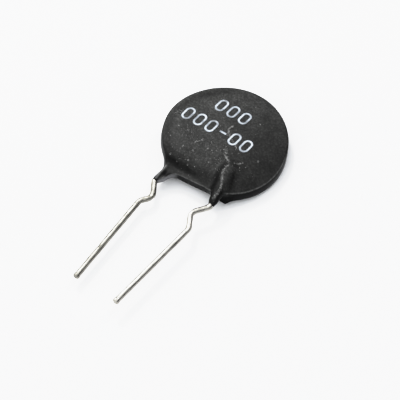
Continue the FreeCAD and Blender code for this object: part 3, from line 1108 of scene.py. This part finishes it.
give(table_top, white_paper())

# %% [markdown]
# ## Light
#
# The photograph is a catalogue picture with soft light from the back left, and a weaker one from
# the back right. One wide softbox fills the shadows, and two small keys draw the shine on the
# wires. Small area lights close to a small part act like big studio lights on a big one, so they
# stand only some 30 cm away.

# %% A softbox and two keys
def soft_light(name, direction, elevation, distance, size, power, colour):
    """An area light that looks at the disc from a compass direction and a height."""
    light = bpy.data.lights.new(name, "AREA")
    light.shape = "DISK"
    light.size = size
    light.energy = power
    light.color = colour
    lamp = bpy.data.objects.new(name, light)
    bpy.context.scene.collection.objects.link(lamp)
    flat = Vector((direction[0], direction[1], 0)).normalized()
    height = math.radians(elevation)
    up = Vector((0, 0, math.sin(height)))
    lamp.location = disc_middle + distance * (flat * math.cos(height) + up)
    lamp.rotation_euler = (disc_middle - lamp.location).to_track_quat("-Z", "Y").to_euler()
    print(name, "stands at", [round(c, 3) for c in lamp.location])


soft_light("softbox_behind", (-0.98, 0.12), 50, 0.35, 0.38, 0.5, (1.0, 0.995, 0.985))
soft_light("key_behind_left", (-13, 7.3), 50, 0.3, 0.04, 0.41, (1.0, 0.99, 0.97))
soft_light("second_behind_right", (3, 14.4), 50, 0.3, 0.04, 0.17, (0.98, 0.99, 1.0))

# %% [markdown]
# A bright room does the rest. A plain white sky would light the wall of the disc as much as its
# face. This one is bright around one direction, above and to the front left, and falls off to
# nearly nothing, so the wall and the lower sides of the wires stay dark.

# %% The room
BRIGHT_SIDE = (-0.40, -0.25, 0.88)
ROOM_FALL = {"From Min": 0.1, "From Max": 0.75, "To Min": 0.03, "To Max": 1.8}
room = bpy.data.worlds.new("bright_room")
room.use_nodes = True
bpy.context.scene.world = room
air = room.node_tree
background = air.nodes["Background"]
background.inputs["Color"].default_value = (0.97, 0.985, 1.0, 1)
facing = add(air, "ShaderNodeVectorMath", operation="DOT_PRODUCT")
air.links.new(add(air, "ShaderNodeTexCoord").outputs["Generated"], facing.inputs[0])
facing.inputs[1].default_value = BRIGHT_SIDE
fall_off = add(air, "ShaderNodeMapRange", ROOM_FALL, interpolation_type="SMOOTHSTEP")
air.links.new(facing.outputs["Value"], fall_off.inputs["Value"])
air.links.new(fall_off.outputs["Result"], background.inputs["Strength"])
print("brightest part of the room:", BRIGHT_SIDE)

# %% [markdown]
# The photograph is overexposed a little: its table stays just below pure white, and shadows show
# only close to the part. A straight tone scale can't do both. So the table gets more light than
# white needs, and a curve with a soft shoulder, as film has, brings it back under white.

# %% The tone scale
BRIGHTEST = 4.0
SHOULDER = [(0.40, 0.40), (0.60, 0.66), (0.80, 0.83), (0.95, 0.87), (1.10, 0.905), (1.35, 0.93),
            (1.65, 0.945), (2.5, 0.98)]
look = bpy.context.scene.view_settings
look.view_transform = "Standard"
look.use_curve_mapping = True
scale = look.curve_mapping
scale.white_level = (BRIGHTEST,) * 3
for light_in, light_out in SHOULDER:
    scale.curves[3].points.new(light_in / BRIGHTEST, light_out)
for knot in scale.curves[3].points:
    knot.handle_type = "VECTOR"
scale.update()
print("tone scale:", [(round(knot.location[0] * BRIGHTEST, 2), round(knot.location[1], 3))
                      for knot in scale.curves[3].points])

# %% [markdown]
# ## Camera
#
# The camera of the photograph stands high to the right of the leads. The wires show hardly any
# perspective, so it is far away with a long lens. Its place is given by two angles, a distance
# and the point it looks at, which are easier to correct than three coordinates.

# %% The camera of the photograph
CAMERA_AZIMUTH = math.radians(37.8)
CAMERA_ELEVATION = math.radians(58.0)
CAMERA_DISTANCE = 263.0 * MM
CAMERA_TARGET = Vector((2.92, 0.482, 2.15)) * MM
lens = bpy.data.cameras.new("long_lens")
lens.lens = 180.0
lens.sensor_width = 36.0
camera = bpy.data.objects.new("camera", lens)
bpy.context.scene.collection.objects.link(camera)
backward = Vector((math.sin(CAMERA_AZIMUTH) * math.cos(CAMERA_ELEVATION),
                   -math.cos(CAMERA_AZIMUTH) * math.cos(CAMERA_ELEVATION),
                   math.sin(CAMERA_ELEVATION)))
camera.location = CAMERA_TARGET + backward * CAMERA_DISTANCE
camera.rotation_euler = (-backward).to_track_quat("-Z", "Y").to_euler()
bpy.context.scene.camera = camera
print("camera stands at", [round(c, 4) for c in camera.location])
